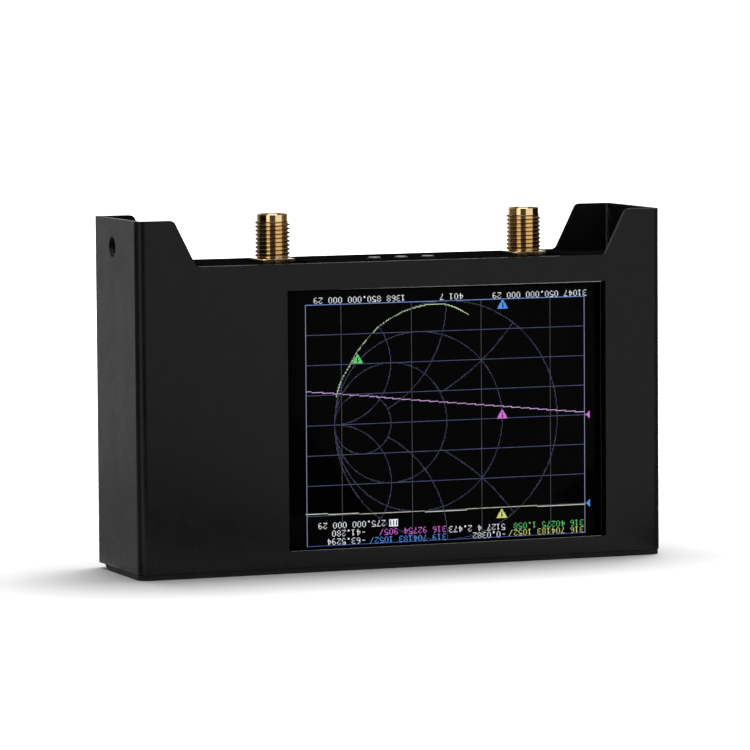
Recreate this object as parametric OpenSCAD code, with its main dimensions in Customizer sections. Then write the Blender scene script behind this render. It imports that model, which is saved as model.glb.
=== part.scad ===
// Hand-held antenna analyzer: two folded sheet-metal covers around a display,
// a circuit board with two coaxial ports, a battery, three buttons and a
// power switch. Millimetres; X to the right, Y to the back, Z up.
// The origin is the middle of the face that it stands on.

/* [Case] */
// Width over the side walls
case_w = 97.2; // [94:0.1:102]
// Depth from the front panel to the back panel
case_d = 22.5; // [22:0.1:25]
// Height to the tops of the ears
case_h = 61.3; // [58:0.1:64]
// Thickness of the sheet metal
sheet_t = 0.8; // [0.6:0.05:1]
// Outer radius of the bends
bend_r = 1.5; // [1.2:0.1:2]
// Height of the top plate and of the recess edges
recess_z = 53.35; // [53:0.05:54]
// Half width of the recess at its foot
foot_x = 37.9; // [37.5:0.1:39]
// Run of the ears' slope for each millimetre of rise
slope_run = 0.506; // [0.4:0.002:0.6]
// Radius of the ears' upper corners
ear_r = 1; // [0.5:0.1:1.5]
// Radius at the foot of the ears' slope
foot_r = 0.8; // [0.5:0.1:1.2]
// Gap between the two covers
seam = 0.1; // [0.08:0.01:0.15]

/* [Window] */
// Left edge of the window
win_x0 = -21.5; // [-22:0.1:-21]
// Right edge of the window
win_x1 = 37.95; // [37.5:0.05:38.5]
// Lower edge of the window
win_z0 = 3.8; // [3.2:0.1:4.2]
// Upper edge of the window
win_z1 = 48.75; // [48:0.05:49.5]

/* [Ports] */
// Place of the left port
port_l_x = -19.9; // [-21:0.1:-19]
// Place of the right port
port_r_x = 27.3; // [26.5:0.1:28]
// Distance of the ports' axes behind the middle of the case
port_y = 0.5; // [0.3:0.1:0.8]
// Radius over the thread
thread_r = 3.15; // [3.05:0.01:3.175]
// Height of the ports' ends
port_top = 61.47; // [61.3:0.01:61.9]
// Half width of the slots around the ports
slot_r = 4.3; // [4.1:0.1:4.5]

/* [Buttons] */
// Place of the middle button
button_x = 3.55; // [3:0.05:4]
// Distance between the buttons
button_pitch = 5.02; // [5:0.01:5.2]
// Radius of a button
button_r = 1.2; // [1:0.05:1.25]
// How far a button stands above the top plate
button_proud = 0.15; // [0.05:0.05:0.3]

/* [Lanyard holes] */
// Radius of the holes in the side walls
lanyard_r = 1.75; // [1.5:0.05:2]
// Distance of the holes behind the middle of the case
lanyard_y = 2.05; // [1:0.05:3]
// Height of the holes
lanyard_z = 56.36; // [56:0.02:57]

/* [Hidden] */
$fn = 64;
eps = 0.01;
hw = case_w / 2;
yf = -case_d / 2;
yb = case_d / 2;
wall_z = sheet_t + seam;            // where the front cover's walls end above the bottom plate
theta = atan(1 / slope_run);        // angle of the ears' slope
in_x = hw - sheet_t - 0.2;          // half width of what fits between the walls
plate_y0 = yf + sheet_t + 0.15;     // front edge of the top plate
flare_y = yb - bend_r - (case_h - recess_z) - 0.25; // the top plate is full width in front of this, so the ears unfold clear of it
// screws and standoffs
so_x = 44.2;
so_z = [6, 47.5];
so_af = 4;
// display stack
glass_y = -9.55;
cell_y = glass_y + 0.6;
light_y = cell_y + 1.1;
frame_y = light_y + 1.6;
mod_x0 = -28.4;
mod_x1 = 40.8;
mod_z0 = 1.05;
mod_z1 = 51;
// circuit board
pcb_y0 = port_y + 0.4;
pcb_y1 = pcb_y0 + 1.6;
pcb_top = 52;
// ports
flange_h = 1.75;
thread_z0 = 53.95;
thread_z1 = 59.8;
ref_z = port_top - 1.9;
// buttons
button_y = pcb_y0 - 1.7;
button_top = recess_z + button_proud;
// side sockets
usb_z = 20;
usb_y = pcb_y1 + 1.6;
sw_z0 = 31.85;
sw_y = pcb_y1 + 0.9;

// ---- outlines -----------------------------------------------------------

// half of the recess between the ears, on the side s (1 right, -1 left), in X and Z
module recess_half(s) {
  top = case_h + 2;
  dz = case_h - recess_z;
  tx = foot_x + slope_run * dz;
  k = tan(theta / 2);
  mirror([s > 0 ? 0 : 1, 0]) {
    difference() {
      polygon([[-0.5, recess_z], [foot_x, recess_z], [foot_x + slope_run * (top - recess_z), top], [-0.5, top]]);
      // rounded foot of the slope
      difference() {
        polygon([[foot_x - foot_r * k, recess_z], [foot_x + 0.6, recess_z - 0.6],
          [foot_x - foot_r * k + foot_r * sin(theta), recess_z + foot_r - foot_r * cos(theta)],
          [foot_x - foot_r * k, recess_z + foot_r]]);
        translate([foot_x - foot_r * k, recess_z + foot_r]) circle(r = foot_r);
      }
    }
    // rounded upper corner of the ear
    difference() {
      polygon([[tx + ear_r * k - ear_r * sin(theta), case_h - ear_r + ear_r * cos(theta)],
        [tx - 0.6, case_h + 0.6], [tx + ear_r * k, case_h], [tx + ear_r * k, case_h - ear_r]]);
      translate([tx + ear_r * k, case_h - ear_r]) circle(r = ear_r);
    }
  }
}

// turns an outline in X and Z into a block from y0 to y1
module slab(y0, y1) {
  translate([0, y1, 0]) rotate([90, 0, 0]) linear_extrude(height = y1 - y0) children();
}

module block(x0, x1, y0, y1, z0, z1) {
  translate([x0, y0, z0]) cube([x1 - x0, y1 - y0, z1 - z0]);
}

// round bar along Y
module bar_y(x, z, r, y0, y1) {
  translate([x, y1, z]) rotate([90, 0, 0]) cylinder(r = r, h = y1 - y0);
}

// slot along Z through a side wall: half width r, from z0 to z1, centred on y
module wall_slot(y, z0, z1, r) {
  for (z = [z0 + r, z1 - r]) translate([hw - 3, y, z]) rotate([0, 90, 0]) cylinder(r = r, h = 5);
  block(hw - 3, hw + 2, y - r, y + r, z0 + r, z1 - r);
}

// ---- covers --------------------------------------------------------------

module front_cover() {
  color([0.07, 0.07, 0.075]) difference() {
    union() {
      block(-hw + bend_r, hw - bend_r, yf, yf + sheet_t, wall_z, case_h);
      for (s = [0, 1]) mirror([s, 0, 0]) {
        block(hw - sheet_t, hw, yf + bend_r, yb, wall_z, case_h);
        translate([hw - bend_r, yf + bend_r, wall_z]) intersection() {
          difference() {
            cylinder(r = bend_r, h = case_h - wall_z);
            translate([0, 0, -1]) cylinder(r = bend_r - sheet_t, h = case_h + 2);
          }
          translate([0, -bend_r, 0]) cube([bend_r, bend_r, case_h]);
        }
      }
    }
    for (s = [-1, 1]) slab(yf - 1, yf + 3) recess_half(s);
    block(win_x0, win_x1, yf - 1, yf + 3, win_z0, win_z1);
    for (s = [-1, 1]) translate([s * hw, lanyard_y, lanyard_z]) rotate([0, 90, 0])
      cylinder(r = lanyard_r, h = 4, center = true);
    wall_slot(usb_y, usb_z - 4.8, usb_z + 4.8, 1.9);
    wall_slot(sw_y, sw_z0 - 0.45, sw_z0 + 3.75, 0.9);
  }
}

module rear_cover() {
  fl_x = foot_x - 1.3;                // half width of the top bend
  color([0.07, 0.07, 0.075]) difference() {
    union() {
      // back panel
      difference() {
        block(-in_x, in_x, yb - sheet_t, yb, bend_r, case_h);
        for (s = [-1, 1]) slab(yb - 3, yb + 1) recess_half(s);
        block(-fl_x, fl_x, yb - 3, yb + 1, recess_z - bend_r, case_h);
      }
      // top bend and top plate
      translate([-fl_x, yb - bend_r, recess_z - bend_r]) rotate([0, 90, 0]) intersection() {
        difference() {
          cylinder(r = bend_r, h = 2 * fl_x);
          translate([0, 0, -1]) cylinder(r = bend_r - sheet_t, h = 2 * fl_x + 2);
        }
        translate([-bend_r, 0, 0]) cube([bend_r, bend_r, 2 * fl_x]);
      }
      block(-fl_x, fl_x, flare_y, yb - bend_r, recess_z - sheet_t, recess_z);
      block(-in_x, in_x, plate_y0, flare_y, recess_z - sheet_t, recess_z);
      // bottom bend and bottom plate
      translate([-in_x, yb - bend_r, bend_r]) rotate([0, 90, 0]) intersection() {
        difference() {
          cylinder(r = bend_r, h = 2 * in_x);
          translate([0, 0, -1]) cylinder(r = bend_r - sheet_t, h = 2 * in_x + 2);
        }
        cube([bend_r, bend_r, 2 * in_x]);
      }
      linear_extrude(height = sheet_t) difference() {
        union() {
          polygon([[-hw, yf], [hw, yf], [hw, yb - 5], [in_x, yb - 2.2], [in_x, yb - bend_r],
            [-in_x, yb - bend_r], [-in_x, yb - 2.2], [-hw, yb - 5]]);
        }
        for (s = [-1, 1]) difference() {
          translate([s * (hw - 1) - 1, yf - 1]) square([2, 3]);
          translate([s * (hw - 2), yf + 2]) circle(r = 2);
        }
      }
    }
    // bend reliefs beside the top bend
    for (s = [-1, 1]) block(s * (fl_x + 0.4) - 0.4, s * (fl_x + 0.4) + 0.4, yb - 3, yb + 1, recess_z - 2.2, recess_z + 1);
    // slots around the ports, open to the front
    for (x = [port_l_x, port_r_x]) {
      translate([x, port_y, recess_z - 2]) cylinder(r = slot_r, h = 4);
      block(x - slot_r, x + slot_r, plate_y0 - 1, port_y, recess_z - 2, recess_z + 2);
    }
    // button holes
    for (i = [-1, 0, 1]) translate([button_x + i * button_pitch, button_y, recess_z - 2]) cylinder(r = button_r + 0.3, h = 4);
    // countersunk screw holes
    for (x = [-so_x, so_x], z = so_z) {
      bar_y(x, z, 1.35, yb - 2, yb + 1);
      translate([x, yb + eps, z]) rotate([90, 0, 0]) cylinder(r1 = 2.35, r2 = 1.35, h = 0.75);
    }
  }
}

// countersunk M2.5 screws with a cross recess
module case_screws() {
  color([0.1, 0.1, 0.1]) for (x = [-so_x, so_x], z = so_z) translate([x, yb, z]) rotate([90, 0, 0]) difference() {
    union() {
      translate([0, 0, 0.02]) cylinder(r1 = 2.28, r2 = 1.22, h = 0.76);
      cylinder(r = 1.22, h = 5.2);
    }
    for (a = [0, 90]) rotate([0, 0, a]) translate([-1.1, -0.2, -1]) cube([2.2, 0.4, 1.6]);
  }
}

// hex standoffs on the front panel
module front_standoffs() {
  color([0.78, 0.78, 0.8]) for (x = [-so_x, so_x], z = so_z) translate([x, pcb_y0, z]) rotate([90, 0, 0]) difference() {
    cylinder(r = so_af / sqrt(3), h = pcb_y0 - (yf + sheet_t), $fn = 6);
    translate([0, 0, -1]) cylinder(r = 1.27, h = 8);
  }
}

// hex standoffs behind the board, each with its stud through the board
module rear_standoffs() {
  color([0.78, 0.78, 0.8]) for (x = [-so_x, so_x], z = so_z) translate([x, yb - sheet_t, z]) rotate([90, 0, 0]) difference() {
    union() {
      cylinder(r = so_af / sqrt(3), h = yb - sheet_t - pcb_y1, $fn = 6);
      cylinder(r = 1.22, h = yb - sheet_t - pcb_y0 + 4);
    }
    translate([0, 0, -1]) cylinder(r = 1.27, h = 6.2);
  }
}

// ---- display ---------------------------------------------------------------

module screen_gasket() {
  color([0.02, 0.02, 0.02]) difference() {
    block(mod_x0 + 0.4, mod_x1 - 0.4, yf + sheet_t, glass_y, mod_z0 + 0.4, mod_z1 - 0.4);
    block(win_x0 - 0.8, win_x1 + 0.8, yf, glass_y + 1, win_z0 - 0.8, win_z1 + 0.6);
  }
}

module touch_panel() {
  color([0.6, 0.65, 0.7, 0.3]) block(mod_x0, mod_x1, glass_y, cell_y, mod_z0, mod_z1);
}

module lcd_panel() {
  color([0.01, 0.01, 0.03]) block(mod_x0 + 1, mod_x1 - 1, cell_y, light_y, mod_z0 + 1, mod_z1 - 1);
}

module lcd_backlight() {
  color([0.85, 0.85, 0.82]) difference() {
    block(mod_x0 + 1, mod_x1 - 0.2, light_y, frame_y, mod_z0 + 0.2, mod_z1 - 0.2);
    // thumb notches in the tray's rim
    for (z = [15, 35]) block(mod_x1 - 0.6, mod_x1, light_y + 0.5, frame_y + 1, z, z + 3);
  }
}

module display_frame() {
  color([0.12, 0.12, 0.13]) union() {
    difference() {
      block(mod_x0 + 1, mod_x1, frame_y, frame_y + 2, mod_z0, mod_z1);
      block(mod_x0 + 3.5, mod_x1 - 2.5, frame_y - 1, frame_y + 3, mod_z0 + 2.5, mod_z1 - 2.5);
    }
    for (x = [mod_x0 + 2.4, mod_x1 - 1.5], z = [mod_z0 + 1.5, mod_z1 - 1.5]) bar_y(x, z, 1.3, frame_y + 2, pcb_y0);
    bar_y((mod_x0 + mod_x1) / 2, mod_z0 + 1.5, 1.3, frame_y + 2, pcb_y0);
  }
}

// flat cable: out of the cell's left edge, round behind it and into its socket
module display_flex() {
  ft = 0.15;
  fy = cell_y + 0.5;                  // leaves the cell here
  gy = pcb_y0 - 1;                    // enters the socket here
  fx = mod_x0 - 2.6;
  r = 1.5;
  color([0.75, 0.45, 0.12]) translate([0, 0, 15]) linear_extrude(height = 22) union() {
    translate([fx, fy - ft / 2]) square([mod_x0 + 1 - fx, ft]);
    translate([fx - r - ft / 2, fy + r]) square([ft, gy - fy - 2 * r]);
    translate([fx, gy - ft / 2]) square([mod_x0 + 3.4 - fx, ft]);
    translate([fx, fy + r]) intersection() {
      difference() { circle(r = r + ft / 2); circle(r = r - ft / 2); }
      translate([-3, -3]) square([3, 3]);
    }
    translate([fx, gy - r]) intersection() {
      difference() { circle(r = r + ft / 2); circle(r = r - ft / 2); }
      translate([-3, 0]) square([3, 3]);
    }
  }
}

module flex_connector() {
  color([0.9, 0.88, 0.8]) block(mod_x0 + 3.4, mod_x0 + 7.6, pcb_y0 - 1.5, pcb_y0, 13.5, 38.5);
}

// ---- circuit board ------------------------------------------------------------

module main_pcb() {
  color([0.02, 0.025, 0.03]) difference() {
    block(-46.8, 46.8, pcb_y0, pcb_y1, 1.7, pcb_top);
    for (x = [-so_x, so_x], z = so_z) bar_y(x, z, 1.35, pcb_y0 - 1, pcb_y1 + 1);
  }
}

// edge-launch coaxial connector; the thread is a plain cylinder of its major radius
module sma_body(x) {
  color([0.83, 0.62, 0.25]) translate([x, port_y, 0]) difference() {
    union() {
      translate([-3.175, -3.175, pcb_top]) cube([6.35, 6.35, flange_h]);
      translate([0, 0, pcb_top + 1]) cylinder(r = 2.75, h = thread_z1 - pcb_top - 1);
      translate([0, 0, thread_z0]) cylinder(r = thread_r, h = thread_z1 - thread_z0);
      translate([0, 0, thread_z1 - 1]) cylinder(r = 2.62, h = port_top - thread_z1 + 1);
      // legs on both faces of the board
      for (s = [-1, 1]) {
        translate([s * 2.65 - 0.5, -0.7, pcb_top - 4.2]) cube([1, 1.1, 4.3]);
        translate([s * 2.65 - 0.5, 2, pcb_top - 4.2]) cube([1, 1.1, 4.3]);
      }
    }
    translate([0, 0, pcb_top - 1]) cylinder(r = 2.07, h = 12);
    translate([0, 0, ref_z]) cylinder(r = 2.32, h = 5);
  }
}

module sma_insulator(x) {
  color([0.93, 0.92, 0.88]) translate([x, port_y, pcb_top]) difference() {
    cylinder(r = 2.05, h = ref_z - pcb_top);
    translate([0, 0, -1]) cylinder(r = 0.66, h = 12);
  }
}

module sma_contact(x) {
  color([0.85, 0.66, 0.3]) translate([x, port_y, 0]) difference() {
    union() {
      translate([0, 0, pcb_top + 0.3]) cylinder(r = 0.635, h = ref_z - pcb_top - 0.3);
      translate([0, 0, pcb_top - 3.6]) cylinder(r = 0.39, h = 4.5);
    }
    translate([0, 0, ref_z - 2.6]) cylinder(r = 0.47, h = 4);
  }
}

module sma_body_left() { sma_body(port_l_x); }
module sma_body_right() { sma_body(port_r_x); }
module sma_insulator_left() { sma_insulator(port_l_x); }
module sma_insulator_right() { sma_insulator(port_r_x); }
module sma_contact_left() { sma_contact(port_l_x); }
module sma_contact_right() { sma_contact(port_r_x); }

// pressed can over a receiver: open towards the board
module rf_shield(x0, x1, z0, z1) {
  color([0.75, 0.75, 0.76]) difference() {
    block(x0, x1, pcb_y0 - 2.6, pcb_y0, z0, z1);
    block(x0 + 0.25, x1 - 0.25, pcb_y0 - 2.35, pcb_y0 + 1, z0 + 0.25, z1 - 0.25);
  }
}
module rf_shield_left() { rf_shield(-18.5, -1.5, 26, 45.5); }
module rf_shield_right() { rf_shield(14, 35, 26, 45.5); }

module pcb_chips() {
  color([0.04, 0.04, 0.045]) {
    block(-1, 9, pcb_y0 - 1.4, pcb_y0, 9, 19);        // processor
    block(14, 18, pcb_y0 - 0.9, pcb_y0, 14, 18);      // synthesizer
    block(20.5, 24.5, pcb_y0 - 0.9, pcb_y0, 14, 18);  // synthesizer
    block(28, 33, pcb_y0 - 1.4, pcb_y0, 10, 14);      // charger
    block(28, 34, pcb_y0 - 1.5, pcb_y0, 17, 20.6);    // regulator
    block(3, 8, pcb_y0 - 1.2, pcb_y0, 28, 31.2);      // oscillator
  }
}

// right-angle push switches at the board's upper edge
module tact_switches() {
  color([0.1, 0.1, 0.1]) for (i = [-1, 0, 1]) difference() {
    block(button_x + i * button_pitch - 2.25, button_x + i * button_pitch + 2.25, pcb_y0 - 3.4, pcb_y0, 48.6, pcb_top);
    translate([button_x + i * button_pitch, button_y, pcb_top - 1.1]) cylinder(r = button_r + 0.06, h = 3);
  }
}

// round plunger with a bevelled rim; it reaches down into its switch
module button(x) {
  color([0.2, 0.2, 0.21]) translate([x, button_y, 0]) union() {
    translate([0, 0, pcb_top - 0.65]) cylinder(r = button_r, h = button_top - 0.2 - pcb_top + 0.65);
    translate([0, 0, button_top - 0.2]) cylinder(r1 = button_r, r2 = button_r - 0.2, h = 0.2);
  }
}
module button_left() { button(button_x - button_pitch); }
module button_enter() { button(button_x); }
module button_right() { button(button_x + button_pitch); }

// ---- side sockets ---------------------------------------------------------------

// stadium along Z, extruded along X
module stadium_x(x0, x1, y, z, w, h) {
  for (s = [-1, 1]) translate([x0, y, z + s * (w - h) / 2]) rotate([0, 90, 0]) cylinder(r = h / 2, h = x1 - x0);
  block(x0, x1, y - h / 2, y + h / 2, z - (w - h) / 2, z + (w - h) / 2);
}

module usb_shell() {
  color([0.75, 0.75, 0.77]) difference() {
    stadium_x(40.9, 48.2, usb_y, usb_z, 8.94, 3.2);
    stadium_x(41.5, 49, usb_y, usb_z, 8.34, 2.6);
  }
}

module usb_tongue() {
  color([0.05, 0.05, 0.05]) block(41.5, 47.6, usb_y - 0.35, usb_y + 0.35, usb_z - 3.3, usb_z + 3.3);
}

module power_switch_body() {
  color([0.72, 0.72, 0.74]) difference() {
    block(43, 46.6, pcb_y1, pcb_y1 + 1.8, sw_z0 - 2.35, sw_z0 + 5.65);
    block(45.2, 48, sw_y - 0.6, sw_y + 0.6, sw_z0 - 0.85, sw_z0 + 4.15);
  }
}

module power_switch_slider() {
  color([0.04, 0.04, 0.04]) union() {
    block(45.3, 46.5, sw_y - 0.5, sw_y + 0.5, sw_z0 - 0.55, sw_z0 + 1.85);
    block(46.4, hw - 0.1, sw_y - 0.5, sw_y + 0.5, sw_z0, sw_z0 + 1.3);
  }
}

// ---- battery ------------------------------------------------------------------------

module battery_pad() {
  color([0.85, 0.85, 0.8]) block(-28, 24, pcb_y1, pcb_y1 + 0.5, 12, 40);
}

// pouch cell with rounded long edges and a folded end seal
module battery_cell() {
  y0 = pcb_y1 + 0.5;
  color([0.6, 0.62, 0.65]) union() {
    block(-32, 26, y0, y0 + 6, 10, 42);
    for (z = [10, 42]) translate([-32, y0 + 3, z]) rotate([0, 90, 0]) cylinder(r = 3, h = 58);
    block(26, 28.5, y0 + 2, y0 + 4, 10, 42);
  }
}

// wires from the cell's end to the plug
module wire(px, wz, c) {
  y = pcb_y1 + 3.5;
  r = 1.4;
  color(c) union() {
    translate([px, y, 36.6]) cylinder(r = 0.6, h = wz - r - 36.6);
    translate([px - r, y, wz - r]) rotate([90, 0, 0]) rotate_extrude(angle = 90) translate([r, 0]) circle(r = 0.6);
    translate([28.5, y, wz]) rotate([0, 90, 0]) cylinder(r = 0.6, h = px - r - 28.5);
  }
}
module battery_lead_red() { wire(35.1, 38.6, [0.7, 0.05, 0.04]); }
module battery_lead_black() { wire(37.1, 40.6, [0.03, 0.03, 0.03]); }

module battery_plug() {
  color([0.92, 0.9, 0.84]) block(33.8, 38.4, pcb_y1 + 1.6, pcb_y1 + 5.1, 31, 36.6);
}

module battery_socket() {
  color([0.92, 0.9, 0.84]) difference() {
    block(33.1, 39.1, pcb_y1, pcb_y1 + 5.9, 29.5, 35.5);
    block(33.75, 38.45, pcb_y1 + 1.55, pcb_y1 + 5.15, 31, 37);
  }
}

front_cover();
rear_cover();
case_screws();
front_standoffs();
rear_standoffs();
screen_gasket();
touch_panel();
lcd_panel();
lcd_backlight();
display_frame();
display_flex();
flex_connector();
main_pcb();
sma_body_left();
sma_body_right();
sma_insulator_left();
sma_insulator_right();
sma_contact_left();
sma_contact_right();
rf_shield_left();
rf_shield_right();
pcb_chips();
tact_switches();
button_left();
button_enter();
button_right();
usb_shell();
usb_tongue();
power_switch_body();
power_switch_slider();
battery_cell();
battery_pad();
battery_lead_red();
battery_lead_black();
battery_plug();
battery_socket();
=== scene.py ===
import math

import bmesh
import bpy
from mathutils import Matrix, Vector


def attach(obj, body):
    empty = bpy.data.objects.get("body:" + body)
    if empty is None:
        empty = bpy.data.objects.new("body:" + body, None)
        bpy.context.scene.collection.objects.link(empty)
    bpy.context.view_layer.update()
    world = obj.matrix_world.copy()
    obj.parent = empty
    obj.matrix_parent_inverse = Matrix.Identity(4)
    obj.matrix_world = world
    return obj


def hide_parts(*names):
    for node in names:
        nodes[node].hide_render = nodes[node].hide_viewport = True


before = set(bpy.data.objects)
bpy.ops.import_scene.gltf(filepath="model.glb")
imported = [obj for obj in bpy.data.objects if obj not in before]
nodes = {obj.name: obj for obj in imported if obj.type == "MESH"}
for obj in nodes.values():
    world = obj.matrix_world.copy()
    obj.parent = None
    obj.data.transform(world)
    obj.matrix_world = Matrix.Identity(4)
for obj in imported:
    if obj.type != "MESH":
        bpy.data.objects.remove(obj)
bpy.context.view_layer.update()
MM = 0.001
scene = bpy.context.scene

# ---------------------------------------------------------------------------
# camera, at the photograph's viewing angle
# ---------------------------------------------------------------------------
AZ, EL, ROLL = (math.radians(a) for a in (-21.0936, 4.6855, -0.40115))
back = Vector((math.sin(AZ) * math.cos(EL), -math.cos(AZ) * math.cos(EL), math.sin(EL)))
right = Vector((0, 0, 1)).cross(back).normalized()
up = back.cross(right)
right, up = right * math.cos(ROLL) + up * math.sin(ROLL), up * math.cos(ROLL) - right * math.sin(ROLL)
cam_data = bpy.data.cameras.new("camera")
cam_data.lens = 245.76
cam_data.sensor_width = 36
cam_data.clip_start = 0.05
cam_data.clip_end = 30
cam = bpy.data.objects.new("camera", cam_data)
scene.collection.objects.link(cam)
cam.matrix_world = Matrix((
    (right.x, up.x, back.x, -0.322691),
    (right.y, up.y, back.y, -0.833493),
    (right.z, up.z, back.z, 0.105968),
    (0, 0, 0, 1)))
scene.camera = cam
scene.view_settings.view_transform = "Standard"

# ---------------------------------------------------------------------------
# helpers
# ---------------------------------------------------------------------------


def srgb(*c):
    """sRGB 0-255 to linear RGBA"""
    return tuple((v / 255 / 12.92) if v <= 10 else ((v / 255 + 0.055) / 1.055) ** 2.4 for v in c) + (1.0,)


def material(name, colour, rough=0.5, metal=0.0, vary=0.15, scale=400.0, rough_vary=0.06,
             bump=0.0, bump_scale=3000.0, stretch=(1, 1, 1), spec=0.5, emit=0.0, coat=0.0, detail=3.0, tint=None):
    """Principled material: a noise in object space varies colour and roughness, and a fine one gives bump."""
    m = bpy.data.materials.new(name)
    m.use_nodes = True
    nt = m.node_tree
    n, l = nt.nodes, nt.links
    b = n["Principled BSDF"]
    b.inputs["Metallic"].default_value = metal
    b.inputs["Specular IOR Level"].default_value = spec
    if coat:
        b.inputs["Coat Weight"].default_value = coat
        b.inputs["Coat Roughness"].default_value = 0.15
    tc = n.new("ShaderNodeTexCoord")
    mp = n.new("ShaderNodeMapping")
    mp.inputs["Scale"].default_value = stretch
    l.new(tc.outputs["Object"], mp.inputs["Vector"])
    noise = n.new("ShaderNodeTexNoise")
    noise.inputs["Scale"].default_value = scale
    noise.inputs["Detail"].default_value = detail
    l.new(mp.outputs["Vector"], noise.inputs["Vector"])
    ramp = n.new("ShaderNodeValToRGB")
    c = Vector(colour[:3])
    lo = c * (1 - vary)
    hi = Vector(tint[:3]) if tint else c * (1 + vary)
    ramp.color_ramp.elements[0].position = 0.3
    ramp.color_ramp.elements[0].color = (*lo, 1)
    ramp.color_ramp.elements[1].position = 0.7
    ramp.color_ramp.elements[1].color = (*hi, 1)
    l.new(noise.outputs["Fac"], ramp.inputs["Fac"])
    l.new(ramp.outputs["Color"], b.inputs["Base Color"])
    if emit:
        b.inputs["Emission Strength"].default_value = emit
        l.new(ramp.outputs["Color"], b.inputs["Emission Color"])
    mr = n.new("ShaderNodeMapRange")
    mr.inputs["From Min"].default_value = 0.3
    mr.inputs["From Max"].default_value = 0.7
    mr.inputs["To Min"].default_value = max(0.02, rough - rough_vary)
    mr.inputs["To Max"].default_value = min(1, rough + rough_vary)
    l.new(noise.outputs["Fac"], mr.inputs["Value"])
    l.new(mr.outputs["Result"], b.inputs["Roughness"])
    if bump:
        fine = n.new("ShaderNodeTexNoise")
        fine.inputs["Scale"].default_value = bump_scale
        fine.inputs["Detail"].default_value = 2.0
        l.new(mp.outputs["Vector"], fine.inputs["Vector"])
        bm = n.new("ShaderNodeBump")
        bm.inputs["Strength"].default_value = bump
        bm.inputs["Distance"].default_value = 0.00003
        l.new(fine.outputs["Fac"], bm.inputs["Height"])
        l.new(bm.outputs["Normal"], b.inputs["Normal"])
    return m


class Build:
    """Collects vertices in millimetres and faces, and makes one object in metres."""

    def __init__(self):
        self.v, self.f, self.m = [], [], []

    def add(self, verts, faces, mats=None):
        k = len(self.v)
        self.v += [tuple(p) for p in verts]
        self.f += [tuple(i + k for i in f) for f in faces]
        self.m += mats or [0] * len(faces)

    def box(self, x0, x1, y0, y1, z0, z1, c=0.0):
        """Box with its edges cut by c."""
        if c <= 0:
            vs = [(x, y, z) for x in (x0, x1) for y in (y0, y1) for z in (z0, z1)]
            self.add(vs, [(0, 1, 3, 2), (4, 6, 7, 5), (0, 4, 5, 1), (2, 3, 7, 6), (0, 2, 6, 4), (1, 5, 7, 3)])
            return
        bm = bmesh.new()
        bmesh.ops.create_cube(bm, size=1)
        for w in bm.verts:
            w.co = Vector(((x0, x1)[w.co.x > 0], (y0, y1)[w.co.y > 0], (z0, z1)[w.co.z > 0]))
        bmesh.ops.bevel(bm, geom=bm.edges[:], offset=c, segments=2, profile=0.5, affect="EDGES")
        self.add([w.co[:] for w in bm.verts], [[w.index for w in f.verts] for f in bm.faces])
        bm.free()

    def lathe(self, profile, cx, cy, n=64, closed=True):
        """Rings (r, z) turned about the upright axis at cx, cy. A closed profile makes a closed solid."""
        vs, fs = [], []
        m = len(profile)
        for r, z in profile:
            for i in range(n):
                a = 2 * math.pi * i / n
                vs.append((cx + r * math.cos(a), cy + r * math.sin(a), z))
        for k in range(m if closed else m - 1):
            k2 = (k + 1) % m
            for i in range(n):
                j = (i + 1) % n
                fs.append((k * n + i, k * n + j, k2 * n + j, k2 * n + i))
        self.add(vs, fs)

    def make(self, name, mat, body="root", slot=None, smooth=None, merge=0.0, recalc=True, second=None):
        bm = bmesh.new()
        vs = [bm.verts.new((x * MM, y * MM, z * MM)) for x, y, z in self.v]
        for f, k in zip(self.f, self.m):
            try:
                bm.faces.new([vs[i] for i in f]).material_index = k
            except ValueError:
                pass
        if merge:
            bmesh.ops.remove_doubles(bm, verts=bm.verts[:], dist=merge * MM)
            bmesh.ops.dissolve_degenerate(bm, edges=bm.edges[:], dist=merge * MM)
        if recalc:
            bmesh.ops.recalc_face_normals(bm, faces=bm.faces[:])
        me = bpy.data.meshes.new(name)
        bm.to_mesh(me)
        bm.free()
        o = bpy.data.objects.new(name, me)
        scene.collection.objects.link(o)
        me.materials.append(mat)
        if second:
            me.materials.append(second)
        if smooth is not None:
            smooth_by_angle(me, smooth)
        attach(o, body)
        return o


def smooth_by_angle(me, degrees):
    me.polygons.foreach_set("use_smooth", [True] * len(me.polygons))
    bm = bmesh.new()
    bm.from_mesh(me)
    lim = math.radians(degrees)
    for e in bm.edges:
        e.smooth = len(e.link_faces) == 2 and e.calc_face_angle(9) < lim
    bm.to_mesh(me)
    bm.free()


def paint(names, mat):
    for n in names:
        o = nodes[n]
        o.data.materials.clear()
        o.data.materials.append(mat)


def soften(name, width, segments=2, angle=35, edge=None):
    """Rounds a CAD node's sharp edges a little, so they catch the light as real ones do; an edge material, if given,
    goes on the bevel faces as a painted highlight.
    """
    o = nodes[name]
    m = o.modifiers.new("edge", "BEVEL")
    m.width = width * MM
    m.segments = segments
    m.limit_method = "ANGLE"
    m.angle_limit = math.radians(angle)
    m.harden_normals = True
    m.use_clamp_overlap = True
    if edge:
        nodes[name].data.materials.append(edge)
        m.material = 1
    return m


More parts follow.
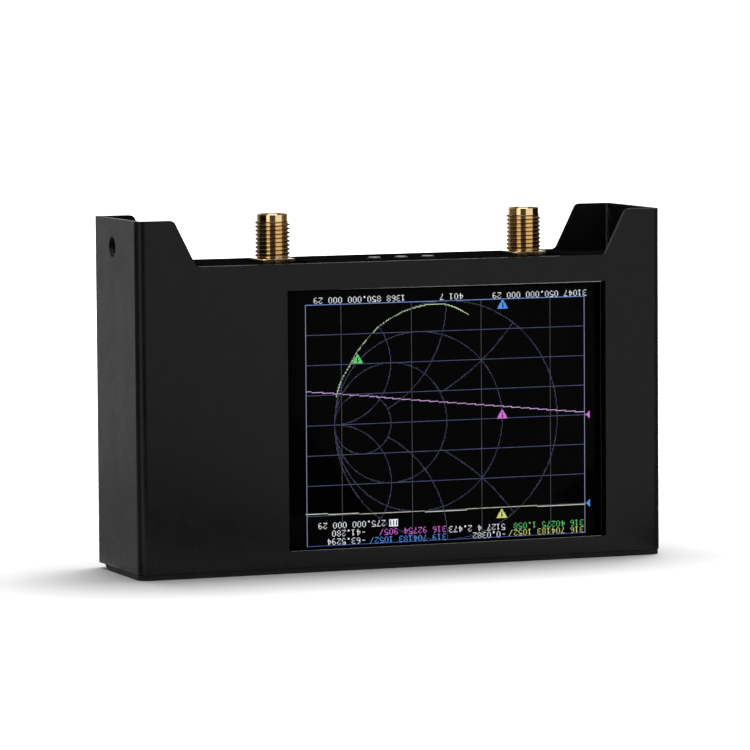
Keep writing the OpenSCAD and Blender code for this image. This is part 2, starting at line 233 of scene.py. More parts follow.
# ---------------------------------------------------------------------------
# materials
# ---------------------------------------------------------------------------
M = {}
M["sheet"] = material("black_powder_coat", srgb(12, 12, 12), rough=0.27, vary=0.12, scale=260, rough_vary=0.04,
                      bump=0.12, bump_scale=2600, spec=0.19)
M["sheet_rear"] = material("black_powder_coat_matt_painted_light", srgb(17, 17, 17), rough=0.7, vary=0.1, scale=260, rough_vary=0.05,
                           bump=0.12, bump_scale=2600, spec=0.0)
# light grey for the front cover's bevels: a painted highlight on its cut edges
M["sheet_edge"] = material("black_powder_coat_painted_highlight", srgb(132, 132, 132), rough=0.34, vary=0.3, scale=700, rough_vary=0.08, spec=0.4)
M["glass_edge"] = material("ground_glass_edge", srgb(62, 62, 64), rough=0.4, vary=0.2, scale=300, rough_vary=0.08, spec=0.3)
# light grey for the window's cut edges: a painted highlight
M["bare_edge"] = material("window_edge_painted_highlight", srgb(150, 150, 150), rough=0.4, vary=0.2, scale=300, rough_vary=0.08, spec=0.4)
M["screw"] = material("black_oxide_screw", srgb(36, 36, 37), rough=0.35, metal=0.6, vary=0.2, scale=1500)
M["nickel"] = material("nickel_plate", srgb(190, 188, 182), rough=0.25, metal=1.0, vary=0.06, scale=900, bump=0.05)
M["foam"] = material("black_foam", srgb(14, 14, 15), rough=0.95, vary=0.3, scale=2500, bump=0.6, bump_scale=5000, spec=0.1)
M["cell"] = material("display_cell_black", srgb(2, 2, 3), rough=0.6, vary=0.2, scale=90, spec=0.0)
M["tray"] = material("tinned_steel_tray", srgb(176, 178, 180), rough=0.32, metal=1.0, vary=0.05, scale=500, stretch=(1, 1, 12))
M["frame"] = material("glass_filled_nylon", srgb(26, 26, 28), rough=0.6, vary=0.2, scale=1600, bump=0.2)
M["polyimide"] = material("polyimide_film", srgb(176, 104, 34), rough=0.28, vary=0.14, scale=300, stretch=(1, 1, 14), coat=0.4)
M["socket"] = material("ivory_nylon", srgb(226, 220, 200), rough=0.45, vary=0.05, scale=900, bump=0.08)
M["pcb"] = material("black_solder_mask", srgb(16, 26, 22), rough=0.32, vary=0.3, scale=700, bump=0.1, bump_scale=4000)
M["gold"] = material("gold_plate", srgb(248, 216, 162), rough=0.1, metal=1.0, vary=0.05, scale=700, rough_vary=0.03)
# darker gold for the thread's crests: painted shade
M["gold_worn"] = material("gold_plate_painted_shade", srgb(116, 82, 44), rough=0.24, metal=1.0, vary=0.15, scale=900, rough_vary=0.05)
M["ptfe"] = material("ptfe", srgb(232, 229, 220), rough=0.5, vary=0.03, scale=900)
M["can"] = material("tin_plate_can", srgb(186, 187, 190), rough=0.3, metal=1.0, vary=0.06, scale=420, bump=0.04)
M["chip"] = material("moulded_epoxy", srgb(30, 30, 31), rough=0.58, vary=0.2, scale=3000, bump=0.25, bump_scale=8000)
M["switch"] = material("switch_plastic", srgb(24, 24, 24), rough=0.5, vary=0.15, scale=1500)
M["button"] = material("button_plastic", srgb(62, 62, 64), rough=0.2, vary=0.12, scale=1800, bump=0.03, spec=0.5)
M["steel"] = material("stainless_shell", srgb(184, 184, 186), rough=0.26, metal=1.0, vary=0.05, scale=600, stretch=(14, 1, 1))
M["pouch"] = material("aluminium_pouch", srgb(170, 173, 178), rough=0.34, metal=0.85, vary=0.1, scale=160, bump=0.5, bump_scale=500)
M["white_foam"] = material("white_foam_tape", srgb(214, 210, 200), rough=0.9, vary=0.08, scale=2200, bump=0.5, bump_scale=4500)
M["wire_red"] = material("silicone_red", srgb(168, 22, 16), rough=0.42, vary=0.1, scale=800)
M["wire_black"] = material("silicone_black", srgb(22, 22, 22), rough=0.42, vary=0.15, scale=800)
M["tin"] = material("solder", srgb(186, 188, 192), rough=0.3, metal=1.0, vary=0.08, scale=2600, bump=0.2)
M["mlcc"] = material("ceramic_tan", srgb(150, 116, 80), rough=0.5, vary=0.12, scale=2500)

# painted light on the rear cover: its top plate is painted darker as painted shade, its back and lower faces lighter,
# and a strip along the bottom and the bottom plate's side edges much lighter as painted highlights
nt = M["sheet_rear"].node_tree
old = nt.nodes["Principled BSDF"].inputs["Base Color"].links[0]
source = old.from_socket
nt.links.remove(old)
tc = nt.nodes.new("ShaderNodeTexCoord")
sep = nt.nodes.new("ShaderNodeSeparateXYZ")
nt.links.new(tc.outputs["Object"], sep.inputs["Vector"])
parts = []
# each range: axis, from, to, factor at from, factor at to; the largest factor is kept
for axis, lo, hi, out0, out1 in (("Y", 0.0085, 0.0108, 0.6, 2.4), ("Z", 0.038, 0.045, 2.4, 0.6), ("Z", 0.0008, 0.0016, 5.0, 0.6),
                              ("X", -0.0486, -0.0483, 13.0, 0.6), ("X", 0.0483, 0.0486, 0.6, 13.0)):
    rng = nt.nodes.new("ShaderNodeMapRange")
    rng.inputs["From Min"].default_value = lo
    rng.inputs["From Max"].default_value = hi
    rng.inputs["To Min"].default_value = out0
    rng.inputs["To Max"].default_value = out1
    nt.links.new(sep.outputs[axis], rng.inputs["Value"])
    parts.append(rng.outputs["Result"])
for part in parts[1:]:
    top = nt.nodes.new("ShaderNodeMath")
    top.operation = "MAXIMUM"
    nt.links.new(parts[0], top.inputs[0])
    nt.links.new(part, top.inputs[1])
    parts[0] = top.outputs["Value"]
mul = nt.nodes.new("ShaderNodeVectorMath")
mul.operation = "MULTIPLY"
nt.links.new(source, mul.inputs[0])
nt.links.new(top.outputs["Value"], mul.inputs[1])
nt.links.new(mul.outputs["Vector"], nt.nodes["Principled BSDF"].inputs["Base Color"])

paint(["front_cover"], M["sheet"])
paint(["rear_cover"], M["sheet_rear"])
paint(["case_screws"], M["screw"])
paint(["front_standoffs", "rear_standoffs"], M["nickel"])
paint(["screen_gasket"], M["foam"])
paint(["lcd_panel"], M["cell"])
paint(["lcd_backlight"], M["tray"])
paint(["display_frame"], M["frame"])
paint(["display_flex"], M["polyimide"])
paint(["flex_connector", "battery_plug", "battery_socket"], M["socket"])
paint(["main_pcb"], M["pcb"])
paint(["sma_body_left", "sma_body_right", "sma_contact_left", "sma_contact_right"], M["gold"])
paint(["sma_insulator_left", "sma_insulator_right"], M["ptfe"])
paint(["rf_shield_left", "rf_shield_right"], M["can"])
paint(["pcb_chips"], M["chip"])
paint(["tact_switches", "usb_tongue", "power_switch_slider"], M["switch"])
paint(["button_left", "button_enter", "button_right"], M["button"])
paint(["usb_shell", "power_switch_body"], M["steel"])
paint(["battery_cell"], M["pouch"])
paint(["battery_pad"], M["white_foam"])
paint(["battery_lead_red"], M["wire_red"])
paint(["battery_lead_black"], M["wire_black"])

soften("front_cover", 0.12, edge=M["sheet_edge"]).use_clamp_overlap = False
soften("rear_cover", 0.1)
for name, width in (("usb_shell", 0.05), ("power_switch_slider", 0.08), ("usb_tongue", 0.05), ("main_pcb", 0.04)):
    soften(name, width)

# ---------------------------------------------------------------------------
# threaded coaxial ports
# ---------------------------------------------------------------------------
PORT_Y, PCB_TOP = 0.5, 52.0
PITCH = 0.7056


def port(side, x):
    b = Build()
    # barrel with its helical thread
    z0, z1 = 53.95, 60.15
    major, minor = 3.15, 2.77
    n = 96
    rows = 12

    def radius(z, a):
        t = ((z - z0) / PITCH - a / (2 * math.pi)) % 1.0
        r = minor + (major - minor) * abs(2 * t - 1) ** 1.9
        return max(2.66, min(r, major - 0.9 * max(0.0, z - (z1 - 0.3)), major - 0.9 * max(0.0, z0 + 0.3 - z)))

    rings = []
    k = -rows * 2
    while True:
        ring = []
        above = False
        for s in range(n + 1):
            a = 2 * math.pi * s / n
            z = z0 + PITCH * (k / rows + s / n)
            if z < z1:
                above = True
            z = min(max(z, z0), z1)
            r = radius(z, a)
            ring.append((x + r * math.cos(a), PORT_Y + r * math.sin(a), z))
        rings.append(ring)
        k += 1
        if not above:
            break
    # a ring's end meets the start of the ring one pitch up, and doubles are merged
    vs = [p for ring in rings for p in ring]
    fs, crest_shade = [], []
    w = n + 1
    for k in range(len(rings) - 1):
        for s in range(n):
            fs.append((k * w + s, k * w + s + 1, (k + 1) * w + s + 1, (k + 1) * w + s))
            # faces in the rows nearest each crest take the darker gold, painted shade along the thread
            crest_shade.append(int(k % rows in (0, 1, 10, 11)))
    b.add(vs, fs, crest_shade)
    # smooth parts: collar under the thread, nose, bore
    c = Build()
    c.lathe([(2.09, 53.6), (2.75, 53.6), (2.75, z0 + 0.02), (2.5, z0 + 0.05), (2.5, z1 - 0.05), (2.7, z1 - 0.02),
             (2.7, 61.33), (2.57, 61.47), (2.39, 61.47), (2.32, 61.40), (2.32, 59.57), (2.09, 59.57)], x, PORT_Y, 96)
    # flange with its bore
    plate(c, x, 3.175, 2.09, PCB_TOP, PCB_TOP + 1.75, 0.1)
    for s in (-1, 1):
        c.box(x + s * 2.65 - 0.5, x + s * 2.65 + 0.5, -0.2, 0.9, 47.8, 52.1, 0.08)
        c.box(x + s * 2.65 - 0.5, x + s * 2.65 + 0.5, 2.5, 3.6, 47.8, 52.1, 0.08)
    thread = b.make("sma_thread_" + side, M["gold"], slot="gold", smooth=60, merge=0.002, second=M["gold_worn"])
    body = c.make("sma_shell_" + side, M["gold"], slot="gold", smooth=35)
    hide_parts("sma_body_" + side)
    # collet contact with four slits
    d = Build()
    zt = 59.57
    d.lathe([(0.47, zt - 2.6), (0.01, zt - 2.75), (0.01, 48.4), (0.33, 48.4), (0.39, 48.5), (0.39, 52.3), (0.635, 52.3), (0.635, zt - 2.2), (0.47, zt - 2.2)], x, PORT_Y, 48)
    for q in range(4):
        a0 = math.pi / 2 * q + 0.16
        a1 = math.pi / 2 * (q + 1) - 0.16
        ring = []
        steps = 8
        for r, z in ((0.47, zt - 2.25), (0.635, zt - 2.25), (0.635, zt - 0.06), (0.58, zt), (0.5, zt), (0.45, zt - 0.08)):
            ring.append([(x + r * math.cos(a0 + (a1 - a0) * i / steps), PORT_Y + r * math.sin(a0 + (a1 - a0) * i / steps), z) for i in range(steps + 1)])
        vv = [p for row in ring for p in row]
        w = steps + 1
        ff = []
        for j in range(6):
            j2 = (j + 1) % 6
            for i in range(steps):
                ff.append((j * w + i, j * w + i + 1, j2 * w + i + 1, j2 * w + i))
        ff.append(tuple(j * w for j in range(6)))
        ff.append(tuple(j * w + steps for j in reversed(range(6))))
        d.add(vv, ff)
    contact = d.make("sma_collet_" + side, M["gold"], slot="gold", smooth=35)
    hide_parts("sma_contact_" + side)
    return thread


def plate(b, x, half, hole, z0, z1, c):
    """Square plate with a round hole and cut outer edges."""
    n = 64
    outer = []
    for i in range(n):
        a = 2 * math.pi * (i + 0.5) / n
        ca, sa = math.cos(a), math.sin(a)
        k = 1 / max(abs(ca), abs(sa))
        outer.append((ca * k, sa * k))
    # the square's own corners
    def ring(h, z):
        out = []
        for ux, uy in outer:
            px, py = ux * h, uy * h
            out.append((x + px, PORT_Y + py, z))
        return out
    rows = [ring(half - c, z0), ring(half, z0 + c), ring(half, z1 - c), ring(half - c, z1)]
    inner = [[(x + hole * math.cos(2 * math.pi * (i + 0.5) / n), PORT_Y + hole * math.sin(2 * math.pi * (i + 0.5) / n), z) for i in range(n)] for z in (z1, z0)]
    rows += inner
    vs = [p for r in rows for p in r]
    fs = []
    m = len(rows)
    for k in range(m):
        k2 = (k + 1) % m
        for i in range(n):
            j = (i + 1) % n
            fs.append((k * n + i, k * n + j, k2 * n + j, k2 * n + i))
    b.add(vs, fs)


port("left", -19.9)
port("right", 27.3)

# ---------------------------------------------------------------------------
# display: cover glass, cell and what it shows
# ---------------------------------------------------------------------------
GX0, GX1, GZ0, GZ1 = -28.4, 40.8, 1.05, 51.0
glass = material("dark_coated_glass", (0.0007, 0.0007, 0.001), rough=0.09, vary=0.3, scale=60, rough_vary=0.02, spec=0.02)
M["glass"] = glass

b = Build()
b.box(GX0, GX1, -9.55, -9.02, GZ0, GZ1, 0.08)
cover_glass = b.make("cover_glass", glass, slot="glass", smooth=30)
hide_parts("touch_panel")

# the window's cut upper edge: a thin light strip, a painted highlight
b = Build()
x, y, z = (-12.0, 6.0, 37.1), (-11.24, -11.1), 48.745
h = (0.005, 0.06, 0.09)
ring = [(x[k], yy, zz) for k in range(3) for yy, zz in ((y[0], z - h[k]), (y[1], z - h[k]), (y[1], z), (y[0], z))]
b.add(ring, [(0, 3, 2, 1), (8, 9, 10, 11)] + [(4 * k + i, 4 * k + (i + 1) % 4, 4 * k + 4 + (i + 1) % 4, 4 * k + 4 + i)
                                            for k in range(2) for i in range(4)])
b.make("window_upper_edge_highlight", M["bare_edge"], slot="black_sheet")
# the window's cut lower edge: a thin light strip, a painted highlight
b = Build()
b.box(-21.3, 37.0, -11.24, -11.1, 3.79, 3.85)
b.make("window_lower_edge_highlight", M["bare_edge"], slot="black_sheet")

b = Build()
b.box(37.72, 37.77, -9.58, -9.54, 4.0, 48.5)
b.make("glass_side_edge", M["glass_edge"], slot="glass")

# pixels of 0.18 mm; a counts from the grid's left border, b from its top border downwards
PX = 0.18
SX, SZ = -17.66 - 0.043, 46.14 + 0.007
Y_FRONT, Y_BACK = -9.565, -9.545


def cell_rect(build, a0, a1, b0, b1, y=Y_FRONT):
    build.box(SX + a0 * PX, SX + a1 * PX, y, Y_BACK, SZ - b1 * PX, SZ - b0 * PX)


def plot(build, pixels, size=0.92, dots=False, a0=0.0, b0=0.0, tall=1.0):
    """Draws a set of whole pixels as strokes: cores of that size, joined to their neighbours unless they are dots."""
    px = set(pixels)
    cells = {(2 * a, 2 * r) for a, r in px}
    if not dots:
        for a, r in px:
            if (a + 1, r) in px:
                cells.add((2 * a + 1, 2 * r))
            if (a, r + 1) in px:
                cells.add((2 * a, 2 * r + 1))
                if (a + 1, r) in px and (a + 1, r + 1) in px:
                    cells.add((2 * a + 1, 2 * r + 1))
    lo, hi = (1 - size) / 2, (1 + size) / 2
    index = {}
    verts, faces = [], []

    def vert(i, j, y):
        key = (i, j, y)
        if key not in index:
            index[key] = len(verts)
            ca, cr = i // 2 + (hi if i % 2 else lo), j // 2 + (hi if j % 2 else lo)
            verts.append((SX + (a0 + ca) * PX, y, SZ - (b0 + cr * tall) * PX))
        return index[key]

    for i, j in sorted(cells):
        f = [vert(i, j, Y_FRONT), vert(i + 1, j, Y_FRONT), vert(i + 1, j + 1, Y_FRONT), vert(i, j + 1, Y_FRONT)]
        g = [vert(i, j, Y_BACK), vert(i + 1, j, Y_BACK), vert(i + 1, j + 1, Y_BACK), vert(i, j + 1, Y_BACK)]
        faces.append((f[3], f[2], f[1], f[0]))
        faces.append((g[0], g[1], g[2], g[3]))
        for k, other in enumerate(((i, j - 1), (i + 1, j), (i, j + 1), (i - 1, j))):
            if other not in cells:
                q = (k + 1) % 4
                faces.append((f[k], f[q], g[q], g[k]))
    build.add(verts, faces)


def curve(f, t0, t1, steps):
    out = []
    for i in range(steps + 1):
        t = t0 + (t1 - t0) * i / steps
        a, r = f(t)
        p = (int(round(a)), int(round(r)))
        if not out or out[-1] != p:
            out.append(p)
    return out


def glow(name, rgb, strength=1.0, vary=0.12):
    m = material(name, srgb(*rgb), rough=0.5, vary=vary, scale=900, spec=0.0, emit=strength)
    nt = m.node_tree
    base = nt.nodes["Principled BSDF"].inputs["Base Color"]
    nt.links.remove(base.links[0])
    base.default_value = (0.002, 0.002, 0.002, 1)
    return m


G = {
    "border": glow("lcd_border", (138, 143, 166)),
    "border_blue": glow("lcd_border_blue", (122, 150, 214)),
    "border_deep": glow("lcd_border_deep", (70, 84, 150), vary=0.3),
    "grid": glow("lcd_grid", (78, 82, 118), vary=0.25),
    "grid_dim": glow("lcd_grid_dim", (76, 75, 84), vary=0.25),
    "chart": glow("lcd_chart", (84, 84, 112), vary=0.35),
    "cream": glow("lcd_cream", (196, 222, 174)),
    "green": glow("lcd_green", (92, 204, 112)),
    "magenta": glow("lcd_magenta", (212, 112, 216)),
    "magenta_line": glow("lcd_magenta_line", (212, 168, 228)),
    "yellow": glow("lcd_yellow", (206, 210, 124)),
    "yellow_line": glow("lcd_yellow_line", (216, 222, 192)),
    "blue": glow("lcd_blue", (84, 152, 236)),
    "white": glow("lcd_white", (236, 240, 246)),
}

GRID_A, GRID_B = 290, 232
b = Build()
for a in (0, GRID_A):
    cell_rect(b, a + 0.2, a + 0.8, 0.2, GRID_B + 0.8)
b.make("screen_border_sides", G["border"], slot="lcd")
b = Build()
cell_rect(b, 0.8, GRID_A + 0.2, 0.2, 0.8)
b.make("screen_border_top", G["border_blue"], slot="lcd")
b = Build()
cell_rect(b, 0.8, GRID_A + 0.2, GRID_B + 0.2, GRID_B + 0.8)
b.make("screen_border_bottom", G["border_deep"], slot="lcd")

cols = [36.25, 108.75, 181.25, 253.75]
b = Build()
for k in range(1, 8):
    r = 29 * k
    left = 0.8
    for a in cols + [GRID_A]:
        right_end = a + 0.2 if a == GRID_A else a + 0.25
        cell_rect(b, left, right_end, r + 0.22, r + 0.78)
        left = a + 0.75
b.make("screen_grid", G["grid"], slot="lcd")
b = Build()
for a in cols:
    cell_rect(b, a + 0.25, a + 0.75, 0.8, GRID_B + 0.2)
b.make("screen_grid_upright", G["grid_dim"], slot="lcd")

# reflection chart: circles that touch at its left point, and arcs through that point
CA, CB, R = 145, 116, 116
TA = CA - R
pix = set()
for q in (0.25, 0.5, 0.75, 1.0):
    rr = R * q
    pix |= set(curve(lambda t, rr=rr: (TA + rr - rr * math.cos(t), CB + rr * math.sin(t)), 0, 2 * math.pi, int(9 * rr)))


def inside(p, radius, extra=0.0):
    """Inside the circle of that radius that touches the left point."""
    return (p[0] - TA - radius) ** 2 + (p[1] - CB) ** 2 <= (radius + extra) ** 2


for rr, hole in ((58, 0), (116, 29), (232, 58)):
    for s in (-1, 1):
        arc = curve(lambda t, rr=rr, s=s: (TA + rr * math.sin(t), CB + s * (rr - rr * math.cos(t))), 0, 2 * math.pi, int(9 * rr))
        pix |= {p for p in arc if inside(p, R, -0.5) and not (hole and inside(p, hole, 0.4))}
b = Build()
plot(b, pix, 0.6, dots=True)
b.make("screen_chart", G["chart"], slot="lcd")


def photo_px(u, v):
    """Pixel of the photograph's frame to the display's own pixels."""
    d = -back + right * ((u - 375) / 5119.96) - up * ((v - 375) / 5119.96)
    o = Vector((-322.691, -833.493, 105.968))
    t = (-9.45 - o.y) / d.y
    p = o + d * t
    return (p.x + 17.66) / PX, (46.14 - p.z) / PX


def polyline(points, thick=1):
    pts = [photo_px(*p) for p in points]
    out = set()
    for (a0, b0), (a1, b1) in zip(pts, pts[1:]):
        n = max(2, int(2 * max(abs(a1 - a0), abs(b1 - b0))))
        for i in range(n + 1):
            a = a0 + (a1 - a0) * i / n
            r = b0 + (b1 - b0) * i / n
            for k in range(thick):
                out.add((int(round(a)), int(round(r)) + k))
    return out


# match trace along the chart's rim
b = Build()
plot(b, polyline([(335.5, 397), (338.4, 386.6), (341.8, 377.7), (349.3, 364.9), (356.2, 352), (369.1, 335.2), (379, 325.4), (388.9, 318.4),
                  (400.7, 311.9), (410.6, 308), (424.4, 304.6), (436.3, 303.2), (446.2, 304), (454.1, 306.6), (462, 310.5), (467.9, 313.9)]), 0.62)
b.make("trace_match", G["cream"], slot="lcd")

b = Build()
plot(b, polyline([(306, 391.5), (330, 392.7), (345, 394), (372, 396), (400, 398.5), (412, 399.3), (450, 402), (481, 404.2), (520, 407), (549, 409.2), (584, 411.5)], 1), 0.62)
b.make("trace_phase", G["magenta_line"], slot="lcd")
b = Build()
plot(b, polyline([(306, 513.7), (343, 513.5), (385, 512.4), (411, 511.4), (450, 510), (480, 507.9), (505, 506.5), (549, 505), (584, 503.6)], 1), 0.62)
b.make("trace_magnitude", G["yellow_line"], slot="lcd")


def marker(name, mat, u, v, w=11, h=9, flip=False):
    """Triangle with a dark 1 in it, from its centre in the photograph's frame."""
    a, r = photo_px(u, v)
    a, r = int(round(a)), int(round(r))
    px = set()
    for j in range(h):
        half = (j + 1) * w / (2 * h)
        jj = r - h // 2 + j
        for i in range(int(-half), int(half) + 1):
            px.add((a + i, jj))
    for j in range(3, h - 1):
        px.discard((a, r - h // 2 + j))
    px.discard((a + 1, r - h // 2 + h - 3))
    b = Build()
    plot(b, px)
    return b.make(name, mat, slot="lcd")


marker("marker_match", G["green"], 357, 358)
marker("marker_start", G["blue"], 502, 304)
marker("marker_phase", G["magenta"], 501.5, 413)
marker("marker_magnitude", G["yellow"], 501.5, 513)


def arrow(name, mat, u, v):
    a, r = photo_px(u, v)
    a, r = int(round(a)), int(round(r))
    px = {(a + i, r + j) for i in range(5) for j in range(-3, 4) if abs(j) <= i * 0.8}
    b = Build()
    plot(b, px)
    return b.make(name, mat, slot="lcd")


arrow("pointer_phase", G["magenta"], 585, 414.2)
arrow("pointer_magnitude", G["blue"], 585, 503)

# numbers, in dots, four wide and seven high
FONT = {
    "0": "0110 1001 1001 1001 1001 1001 0110", "1": "0010 0110 0010 0010 0010 0010 0111",
    "2": "0110 1001 0001 0010 0100 1000 1111", "3": "1110 0001 0001 0110 0001 0001 1110",
    "4": "0010 0110 1010 1010 1111 0010 0010", "5": "1111 1000 1110 0001 0001 1001 0110",
    "6": "0110 1000 1000 1110 1001 1001 0110", "7": "1111 0001 0010 0010 0100 0100 0100",
    "8": "0110 1001 1001 0110 1001 1001 0110", "9": "0110 1001 1001 0111 0001 0001 0110",
    ".": "0000 0000 0000 0000 0000 0110 0110", "-": "0000 0000 0000 1110 0000 0000 0000",
    "/": "0001 0001 0010 0010 0100 0100 1000", " ": "0000 0000 0000 0000 0000 0000 0000",
}


TALL = 0.88


def number(build, text, u1, v):
    """Numbers that stand on their heads: they start at the photograph's x of u1 and run to the left, centred on its y of v."""
    a, r = photo_px(u1, v)
    px = set()
    for k, ch in enumerate(text):
        for j, row in enumerate(FONT[ch].split()):
            for i, bit in enumerate(row):
                if bit == "1":
                    px.add((-5 * k - i, -j))
    plot(build, px, 0.66, a0=round(a), b0=r + 2.5 * TALL, tall=TALL)


for name, mat, texts in (
    ("numbers_white", "white", [("31047 050.000 000 29", 585, 292.6), ("401 7", 462, 296.2), ("1368 850.000 000 29", 404, 298.0),
                                ("275.000 000 29", 384, 523.0), ("-41.280", 364, 532.0), ("-63.5294", 364, 540.2),
                                ("5127 4 2.473", 504, 526.6), ("-0.0382", 504, 534.0)]),
    ("numbers_green", "green", [("316 40275 1.058", 582.5, 522.4)]),
    ("numbers_yellow", "yellow", [("316 704183 1052/", 582.5, 529.2)]),
    ("numbers_magenta", "magenta", [("316 92754 905/", 445.5, 528.8)]),
    ("numbers_blue", "blue", [("319 704183 1052/", 445.5, 536.6)]),
):
    b = Build()
    for text, u1, v in texts:
        number(b, text, u1, v)
    b.make(name, G[mat], slot="lcd")

# charge symbol beside the numbers
b = Build()
a, r = photo_px(397, 522.5)
a, r = int(round(a)), int(round(r))
px = {(a - i, r + j) for i in range(9) for j in range(-3, 4) if i in (0, 8, 2, 3, 5, 6) or j in (-3, 3)}
plot(b, px)
b.make("charge_symbol", G["white"], slot="lcd")

# ---------------------------------------------------------------------------
# small parts on the board and in the socket
# ---------------------------------------------------------------------------
bpy.context.view_layer.update()


def span(name):
    """The node's box, in millimetres."""
    pts = [nodes[name].matrix_world @ Vector(c) for c in nodes[name].bound_box]
    return [f(p[k] for p in pts) / MM for k in range(3) for f in (min, max)]


x0, x1, y0, y1, z0, z1 = span("usb_tongue")
b = Build()
for k in range(12):
    z = (z0 + z1) / 2 + (k - 5.5) * 0.5
    b.box(x0 + 1.4, x1 - 0.5, y0 - 0.02, y0 + 0.05, z - 0.13, z + 0.13)
    b.box(x0 + 1.4, x1 - 0.5, y1 - 0.05, y1 + 0.02, z - 0.13, z + 0.13)
b.make("usb_contacts", M["gold"], slot="gold")

hollow = ("front_cover", "rear_cover", "main_pcb", "front_standoffs", "rear_standoffs", "case_screws")
taken = [span(n) for n in nodes if n not in hollow]
bx0, bx1, by0, by1, bz0, bz1 = span("main_pcb")
bodies, ends, count = {"mlcc": Build(), "chip": Build()}, Build(), 0
for side in (0, 1):
    for i in range(30):
        for j in range(16):
            if (i * 7 + j * 5 + side) % 4:
                continue
            x, z = -38.0 + 2.6 * i + 0.4 * (j % 3), 6.0 + 2.7 * j + 0.3 * (i % 2)
            lo, hi = ((by0 - 0.55, by0), (by1, by1 + 0.55))[side]
            w, h = (0.8, 0.4) if (i + j) % 2 else (0.4, 0.8)
            if x + w > min(bx1 - 3, 40) or x - w < max(bx0 + 3, -40) or z + h > bz1 - 1.5 or z - h < bz0 + 1.5:
                continue
            if any(x + w + 0.3 > t[0] and x - w - 0.3 < t[1] and hi > t[2] + 0.001 and lo < t[3] - 0.001
                   and z + h + 0.3 > t[4] and z - h - 0.3 < t[5] for t in taken):
                continue
            kind = "chip" if (i + 2 * j) % 3 == 0 else "mlcc"
            e = 0.25
            if w > h:
                bodies[kind].box(x - w + e, x + w - e, lo + 0.02, hi, z - h + 0.02, z + h - 0.02)
                ends.box(x - w, x - w + e, lo, hi, z - h, z + h)
                ends.box(x + w - e, x + w, lo, hi, z - h, z + h)
            else:
                bodies[kind].box(x - w + 0.02, x + w - 0.02, lo + 0.02, hi, z - h + e, z + h - e)
                ends.box(x - w, x + w, lo, hi, z - h, z - h + e)
                ends.box(x - w, x + w, lo, hi, z + h - e, z + h)
            count += 1
print("small parts on the board:", count)
if count:
    bodies["mlcc"].make("board_capacitors", M["mlcc"], slot="chip")
    bodies["chip"].make("board_resistors", M["chip"], slot="chip")
    ends.make("board_solder_ends", M["tin"], slot="nickel")

# pins of the processor
b = Build()
for k in range(16):
    t = 1.0 + 8.0 * k / 15
    for u, v in ((-1.7, -1.0), (9.0, 9.7)):
        b.box(u, v, by0 - 0.16, by0, 9 + t - 0.12, 9 + t + 0.12)
    for u, v in ((8.3, 9.0), (19.0, 19.7)):
        b.box(-1 + t - 0.12, -1 + t + 0.12, by0 - 0.16, by0, u, v)
b.make("processor_pins", M["tin"], slot="nickel")

# ---------------------------------------------------------------------------
# stage and light
# ---------------------------------------------------------------------------
FLOOR_GLOW = 1.0
TOP_POWER, LEFT_POWER, RIGHT_POWER = 16.5, 0.06, 0.27
SKY = 0.12
CARD_TOP = 2.0
# name, azimuth from and to (0 is the front, positive to the right), height from and to, distance, brightness
FLAGS = [("flag_front", -41, 1, 0.0, 0.7, 0.45, 0.06), ("flag_left", -146, -72, 0.0, 0.7, 0.45, 0.11),
         ("flag_rear_left", -178, -146, 0.0, 0.7, 0.45, 0.5), ("flag_right", 54, 128, 0.0, 0.7, 0.45, 0.14),
         ("card_left", -72, -40, 0.0, 0.9, 0.45, 1.12), ("card_right", 1, 54, 0.0, 0.9, 0.45, 0.92)]


def stage_material(name, colour, emit=0.0):
    m = bpy.data.materials.new(name)
    m.use_nodes = True
    bs = m.node_tree.nodes["Principled BSDF"]
    bs.inputs["Base Color"].default_value = colour
    bs.inputs["Roughness"].default_value = 0.9
    bs.inputs["Specular IOR Level"].default_value = 0.0
    if emit:
        bs.inputs["Emission Color"].default_value = (1, 1, 1, 1)
        bs.inputs["Emission Strength"].default_value = emit
    return m


def stage_mesh(name, verts, faces, mat):
    me = bpy.data.meshes.new(name)
    me.from_pydata(verts, [], faces)
    o = bpy.data.objects.new(name, me)
    scene.collection.objects.link(o)
    me.materials.append(mat)
    return o


# white floor: lit near the object, and evened out with a little glow further away
FLOOR_R = 20.0
floor_mat = stage_material("floor_white", (0.9, 0.9, 0.9, 1))
nt = floor_mat.node_tree
tc = nt.nodes.new("ShaderNodeTexCoord")


def chain(op, a, b, kind="ShaderNodeVectorMath"):
    m = nt.nodes.new(kind)
    m.operation = op
    for k, v in enumerate((a, b)):
        if v is None:
            continue
        if hasattr(v, "is_linked"):
            nt.links.new(v, m.inputs[k])
        else:
            m.inputs[k].default_value = v
    return m


far = chain("LENGTH", tc.outputs["Object"], None)
off = chain("SUBTRACT", chain("ABSOLUTE", tc.outputs["Object"], None).outputs["Vector"], (0.0486, 0.011, 0.0))
off = chain("LENGTH", chain("MAXIMUM", off.outputs["Vector"], (0.0, 0.0, 0.0)).outputs["Vector"], None)


def step(value, lo, hi, top):
    fr = nt.nodes.new("ShaderNodeMapRange")
    fr.interpolation_type = "SMOOTHSTEP"
    fr.inputs["From Min"].default_value = lo
    fr.inputs["From Max"].default_value = hi
    fr.inputs["To Min"].default_value = 0.0
    fr.inputs["To Max"].default_value = top
    nt.links.new(value, fr.inputs["Value"])
    return fr.outputs["Result"]


fr = chain("ADD", step(off.outputs["Value"], -0.004, 0.05, 0.32), step(far.outputs["Value"], 0.06, 0.5, FLOOR_GLOW), "ShaderNodeMath")
bs = nt.nodes["Principled BSDF"]
bs.inputs["Emission Color"].default_value = (1, 1, 1, 1)
nt.links.new(fr.outputs["Value"], bs.inputs["Emission Strength"])
stage_mesh("floor", [(FLOOR_R * math.cos(2 * math.pi * i / 48), FLOOR_R * math.sin(2 * math.pi * i / 48), 0) for i in range(48)],
           [tuple(range(48))], floor_mat)


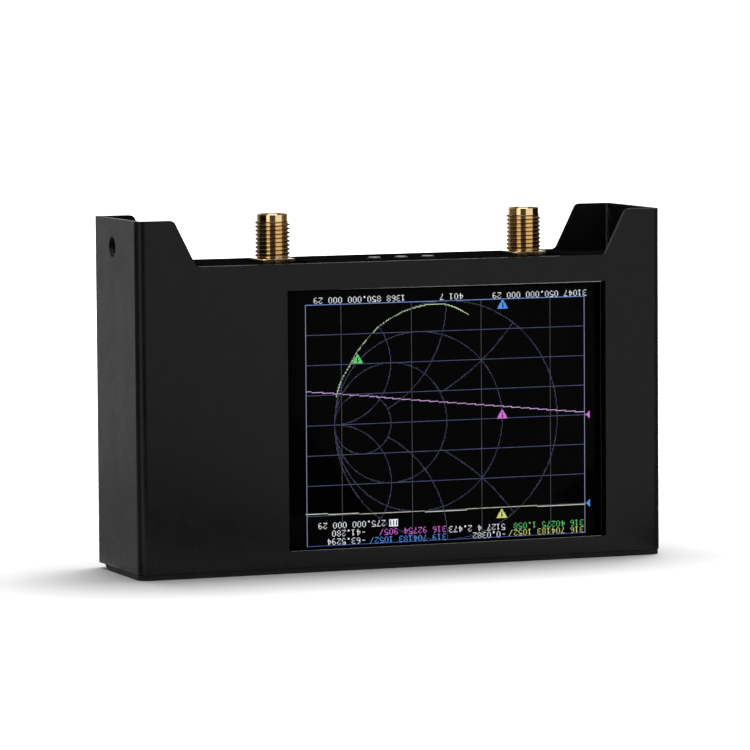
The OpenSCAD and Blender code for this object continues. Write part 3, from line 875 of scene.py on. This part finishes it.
def flag(name, az0, az1, z0, z1, dist, tone):
    """Dark card beside the light, seen only in reflections."""
    n = 12
    vs, fs = [], []
    for i in range(n + 1):
        a = math.radians(az0 + (az1 - az0) * i / n)
        near = min(0.0505 / max(1e-6, abs(math.sin(a))), 0.036 / max(1e-6, abs(math.cos(a))))
        for d, z in ((near, 0.0004), (dist, 0.0004), (dist, z1)):
            vs.append((math.sin(a) * d, -math.cos(a) * d, z))
    for i in range(n):
        for k in (0, 1):
            fs.append((3 * i + k, 3 * i + 3 + k, 3 * i + 4 + k, 3 * i + 1 + k))
    o = stage_mesh(name, vs, fs, stage_material(name + "_card", (0.0, 0.0, 0.0, 1), tone))
    o.visible_camera = False
    o.visible_diffuse = False
    o.visible_shadow = False
    o.visible_transmission = False
    return o


for fl in FLAGS:
    flag(*fl)
o = stage_mesh("card_top", [(-0.3, -0.3, 1.0), (0.3, -0.3, 1.0), (0.3, 0.3, 1.0), (-0.3, 0.3, 1.0)], [(0, 1, 2, 3)],
               stage_material("card_top_card", (0.0, 0.0, 0.0, 1), CARD_TOP))
o.visible_camera = o.visible_diffuse = o.visible_shadow = o.visible_transmission = False
o = stage_mesh("card_floor_left", [(-0.2, -0.01, 0.0006), (-0.0505, -0.01, 0.0006), (-0.0505, 0.16, 0.0006), (-0.2, 0.16, 0.0006)],
               [(0, 1, 2, 3)], stage_material("card_floor_left_card", (0.0, 0.0, 0.0, 1), 0.33))
o.visible_camera = o.visible_diffuse = o.visible_shadow = o.visible_transmission = False


def area(name, loc, target, size, power, colour=(1, 1, 1), glossy=True):
    d = bpy.data.lights.new(name, "AREA")
    d.shape = "RECTANGLE"
    d.size, d.size_y = size
    d.energy = power
    d.color = colour
    o = bpy.data.objects.new(name, d)
    scene.collection.objects.link(o)
    o.location = loc
    o.rotation_mode = "QUATERNION"
    o.rotation_quaternion = (Vector(target) - Vector(loc)).to_track_quat("-Z", "Y")
    o.visible_camera = False
    o.visible_glossy = glossy
    return o


def polar(az, el, dist, z=0.03):
    a, e = math.radians(az), math.radians(el)
    return (math.sin(a) * math.cos(e) * dist, -math.cos(a) * math.cos(e) * dist, z + math.sin(e) * dist)


area("top_softbox", (0.28, 0.3, 1.1), (0.28, 0.3, 0.0), (1.0, 0.8), TOP_POWER, glossy=False)
area("left_fill", polar(-120, 25, 0.6), (0, 0, 0.05), (0.4, 0.5), LEFT_POWER, glossy=False)
area("rear_fill", polar(168, 7, 0.6), (0, 0, 0.03), (0.5, 0.16), 0.25, glossy=False)
area("right_fill", polar(27, 33, 0.6), (0, 0, 0.05), (0.4, 0.5), RIGHT_POWER, glossy=False)

# world: white near the horizon, dimmer above
world = scene.world or bpy.data.worlds.new("world")
scene.world = world
world.use_nodes = True
wt = world.node_tree
wb = wt.nodes["Background"]
wb.inputs["Color"].default_value = (1, 1, 1, 1)
wtc = wt.nodes.new("ShaderNodeTexCoord")
wsep = wt.nodes.new("ShaderNodeSeparateXYZ")
wt.links.new(wtc.outputs["Generated"], wsep.inputs["Vector"])
wmr = wt.nodes.new("ShaderNodeMapRange")
wmr.interpolation_type = "SMOOTHSTEP"
wmr.inputs["From Min"].default_value = 0.06
wmr.inputs["From Max"].default_value = 0.2
wmr.inputs["To Min"].default_value = 1.1
wmr.inputs["To Max"].default_value = SKY
wt.links.new(wsep.outputs["Z"], wmr.inputs["Value"])
wt.links.new(wmr.outputs["Result"], wb.inputs["Strength"])
